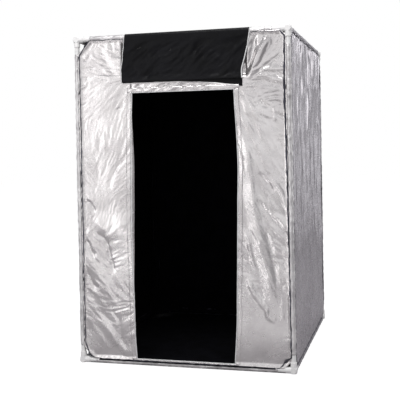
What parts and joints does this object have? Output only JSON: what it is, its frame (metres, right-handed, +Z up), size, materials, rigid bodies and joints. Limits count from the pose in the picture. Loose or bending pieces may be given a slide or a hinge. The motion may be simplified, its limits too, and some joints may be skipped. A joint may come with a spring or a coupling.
{
  "type": "printer enclosure tent",
  "caption": "Upright box tent of foil-faced fabric on a plastic pipe frame, with a framed doorway and a door flap thrown back over the roof.",
  "frame": {"origin": "on the ground, at the centre of the footprint", "axes": "+Z up, the doorway faces -Y, +X is to the right seen from the front"},
  "size_m": [0.955, 1.045, 1.425],
  "materials": {
    "white_fitting": "moulded, semi-gloss",
    "white_pipe": "extruded, semi-gloss",
    "silver_fabric": "silver foil coating, crinkled",
    "black_lining": "matt woven",
    "black_binding": "matt woven tape",
    "white_piping": "woven, corded edge"
  },
  "bodies": {
    "frame": {"back_binding": "black_binding", "back_left_post_pipe": "white_pipe", "back_left_post_sleeve": "silver_fabric", "back_panel": "silver_fabric", "back_right_post_pipe": "white_pipe", "back_right_post_sleeve": "silver_fabric", "bottom_back_rail_pipe": "white_pipe", "bottom_back_rail_sleeve": "silver_fabric", "bottom_front_rail_pipe": "white_pipe", "bottom_front_rail_sleeve": "silver_fabric", "bottom_left_rail_pipe": "white_pipe", "bottom_left_rail_sleeve": "silver_fabric", "bottom_right_rail_pipe": "white_pipe", "bottom_right_rail_sleeve": "silver_fabric", "doorway_hem_left": "silver_fabric", "doorway_hem_right": "silver_fabric", "doorway_hem_top": "silver_fabric", "doorway_piping": "white_piping", "doorway_sill": "silver_fabric", "fitting_bottom_back_left": "white_fitting", "fitting_bottom_back_right": "white_fitting", "fitting_bottom_front_left": "white_fitting", "fitting_bottom_front_right": "white_fitting", "fitting_top_back_left": "white_fitting", "fitting_top_back_right": "white_fitting", "fitting_top_front_left": "white_fitting", "fitting_top_front_right": "white_fitting", "flap_seam_tape": "silver_fabric", "floor_binding": "black_binding", "floor_panel": "black_lining", "front_binding": "black_binding", "front_left_post_pipe": "white_pipe", "front_left_post_sleeve": "silver_fabric", "front_panel": "silver_fabric", "front_right_post_pipe": "white_pipe", "front_right_post_sleeve": "silver_fabric", "left_binding": "black_binding", "left_panel": "silver_fabric", "right_binding": "black_binding", "right_panel": "silver_fabric", "roof_binding": "black_binding", "roof_panel": "silver_fabric", "top_back_rail_pipe": "white_pipe", "top_back_rail_sleeve": "silver_fabric", "top_front_rail_pipe": "white_pipe", "top_front_rail_sleeve": "silver_fabric", "top_left_rail_pipe": "white_pipe", "top_left_rail_sleeve": "silver_fabric", "top_right_rail_pipe": "white_pipe", "top_right_rail_sleeve": "silver_fabric"},
    "flap_lower": {"flap_lower_cloth": "black_lining", "flap_lower_piping": "white_piping"},
    "flap_upper": {"flap_upper_cloth": "black_lining", "flap_upper_piping": "white_piping"}
  },
  "joints": [
    {"name": "flap_seam", "type": "hinge", "parent": "frame", "child": "flap_lower", "pos_m": [0.01, -0.5214, 1.216], "axis": [1, 0, 0], "range_deg": [0, 180]},
    {"name": "flap_bend", "type": "hinge", "parent": "flap_lower", "child": "flap_upper", "pos_m": [0.01, -0.5214, 1.4239], "axis": [1, 0, 0], "range_deg": [0, 90]}
  ],
  "couplings": [
    {"joint": "flap_bend", "follows": "flap_seam", "ratio": 0.5}
  ]
}
